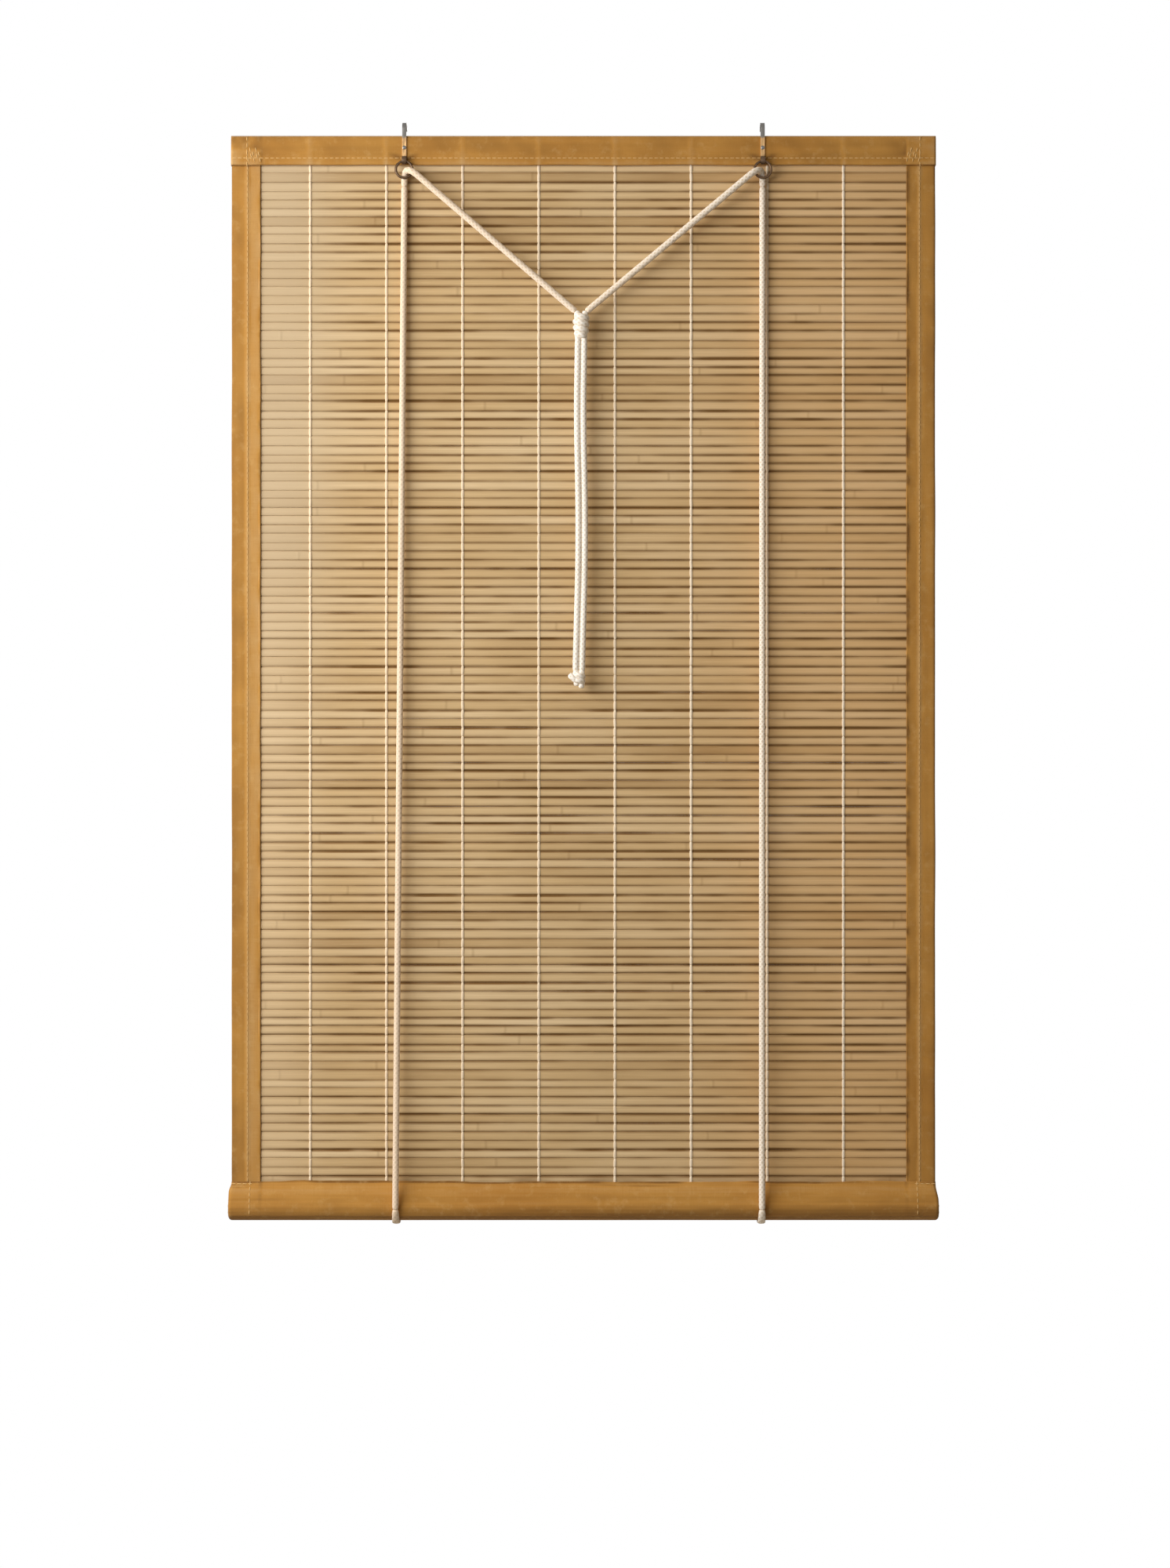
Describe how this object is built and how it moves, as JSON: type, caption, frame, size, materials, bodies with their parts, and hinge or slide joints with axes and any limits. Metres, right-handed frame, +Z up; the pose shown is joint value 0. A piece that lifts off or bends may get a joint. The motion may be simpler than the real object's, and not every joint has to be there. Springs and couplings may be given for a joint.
{
  "type": "roll up blind",
  "caption": "Bamboo slat blind bound with cloth tape, with a turning roller at its foot, two hook hangers with rings and a pair of lift cords that join in a pull.",
  "frame": {"origin": "midway between the seats of the two hooks, at the height where a wall hook bears on them and in the middle plane of the mat", "axes": "+X to the right along the slats, +Y to the wall, +Z up"},
  "size_m": [0.604, 0.0374, 0.9391],
  "materials": {
    "bamboo_slats": "satin",
    "lath_wood": "matte",
    "rod_wood": "matte",
    "binding_cloth": "matte",
    "warp_cotton": "matte",
    "cord_cotton": "matte",
    "steel_strap": "satin",
    "steel_wire": "satin"
  },
  "bodies": {
    "head": {"head_lath_front": "lath_wood", "head_lath_back": "lath_wood", "top_binding": "binding_cloth", "left_hanger": "steel_strap", "right_hanger": "steel_strap", "left_hanger_screw": "steel_wire", "right_hanger_screw": "steel_wire", "left_ring": "steel_wire", "right_ring": "steel_wire", "left_back_staple": "steel_wire", "right_back_staple": "steel_wire", "left_stop_knot": "cord_cotton", "right_stop_knot": "cord_cotton", "slat_mat": "bamboo_slats", "warp_thread_1": "warp_cotton", "warp_thread_2": "warp_cotton", "warp_thread_3": "warp_cotton", "warp_thread_4": "warp_cotton", "warp_thread_5": "warp_cotton", "warp_thread_6": "warp_cotton", "warp_thread_7": "warp_cotton", "warp_thread_8": "warp_cotton", "left_binding": "binding_cloth", "right_binding": "binding_cloth", "left_front_cord": "cord_cotton", "right_front_cord": "cord_cotton", "left_back_cord": "cord_cotton", "right_back_cord": "cord_cotton", "left_pull_cord": "cord_cotton", "right_pull_cord": "cord_cotton"},
    "hem": {"bottom_binding": "binding_cloth", "left_cord_bight": "cord_cotton", "right_cord_bight": "cord_cotton"},
    "roller": {"bottom_rod": "rod_wood", "roller_cover": "binding_cloth"},
    "pull": {"pull_knot": "cord_cotton", "tail_knot": "cord_cotton", "left_cord_tail": "cord_cotton", "right_cord_tail": "cord_cotton"}
  },
  "joints": [
    {"name": "blind_lift", "type": "slide", "parent": "head", "child": "hem", "axis": [0, 0, 1], "range_m": [0, 0.82], "deforming": ["slat_mat", "warp_thread_1", "warp_thread_2", "warp_thread_3", "warp_thread_4", "warp_thread_5", "warp_thread_6", "warp_thread_7", "warp_thread_8", "left_binding", "right_binding", "left_front_cord", "right_front_cord", "left_back_cord", "right_back_cord"]},
    {"name": "roller_turn", "type": "hinge", "parent": "hem", "child": "roller", "pos_m": [0, 0, -0.9241], "axis": [-1, 0, 0], "range_deg": [0, 2256]},
    {"name": "cord_pull", "type": "slide", "parent": "head", "child": "pull", "axis": [0, -0.03, -0.9995], "range_m": [0, 1.64], "deforming": ["left_pull_cord", "right_pull_cord"]}
  ],
  "couplings": [
    {"joint": "roller_turn", "follows": "blind_lift", "rad_per_m": 48},
    {"joint": "cord_pull", "follows": "blind_lift", "ratio": 2}
  ]
}
